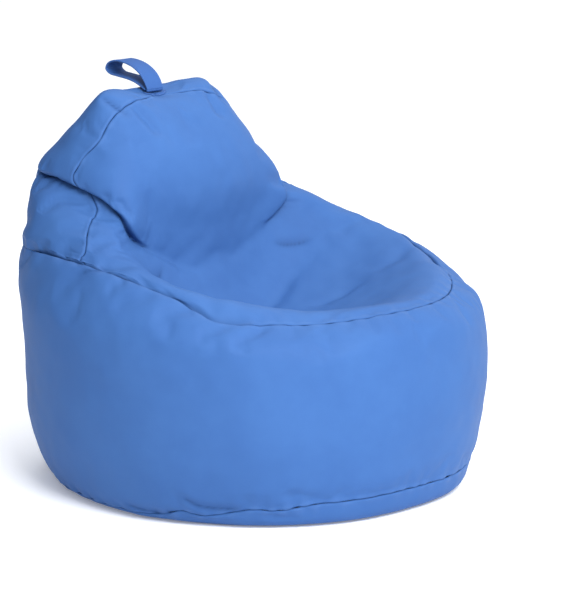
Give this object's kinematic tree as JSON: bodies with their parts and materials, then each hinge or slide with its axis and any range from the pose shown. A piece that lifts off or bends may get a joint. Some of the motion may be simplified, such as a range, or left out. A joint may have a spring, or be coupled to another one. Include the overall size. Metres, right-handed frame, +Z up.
{
  "type": "bean bag chair",
  "caption": "Soft pear-shaped bean bag lounge chair with a scooped seat, raised backrest, flat round base, rear zip and a carrying loop at the top.",
  "frame": {"origin": "centre of the base panel's underside, on the floor", "axes": "+Z up, -Y towards the sitter's knees (the front), +X to the sitter's left"},
  "size_m": [0.837, 0.8268, 0.7337],
  "materials": {
    "cover": "smooth satin leatherette",
    "strap": "folded leatherette strap, stitched edges",
    "zip_tape": "woven tape",
    "zip_teeth": "moulded plastic",
    "zip_metal": "nickel plated",
    "label": "woven satin, blank",
    "liner": "light woven cloth",
    "beads": "loose foam beads, as one solid"
  },
  "bodies": {
    "bag": {"base_panel": "cover", "wall_panel": "cover", "front_panel": "cover", "back_panel_left": "cover", "back_panel_right": "cover", "handle_patch": "strap", "zip_tape_left": "zip_tape", "zip_tape_right": "zip_tape", "zip_teeth_left": "zip_teeth", "zip_teeth_right": "zip_teeth", "zip_top_stop": "zip_metal", "zip_bottom_stop": "zip_metal", "zip_garage": "cover", "vent_eyelet_left": "zip_metal", "vent_eyelet_right": "zip_metal", "vent_washer_left": "zip_metal", "vent_washer_right": "zip_metal", "care_label": "label", "liner_body": "liner", "liner_base": "liner", "liner_zip_tape_left": "zip_tape", "liner_zip_tape_right": "zip_tape", "liner_zip_coil_left": "zip_teeth", "liner_zip_coil_right": "zip_teeth", "bead_fill": "beads"},
    "loop": {"handle_strap": "strap"},
    "slider": {"zip_slider": "zip_metal"},
    "pull": {"zip_pull": "zip_metal"},
    "liner_slider": {"liner_zip_slider": "zip_metal"}
  },
  "joints": [
    {"name": "loop_swing", "type": "hinge", "parent": "bag", "child": "loop", "pos_m": [0, 0.251, 0.6818], "axis": [1, 0, 0], "range_deg": [0, 112]},
    {"name": "zip_run", "type": "slide", "parent": "bag", "child": "slider", "axis": [0, 0, -1], "range_m": [0, 0.356]},
    {"name": "pull_swing", "type": "hinge", "parent": "slider", "child": "pull", "pos_m": [0, 0.4141, 0.484], "axis": [1, 0, 0], "range_deg": [0, 150]},
    {"name": "liner_zip_run", "type": "slide", "parent": "bag", "child": "liner_slider", "axis": [1, 0, 0], "range_m": [0, 0.184]}
  ]
}
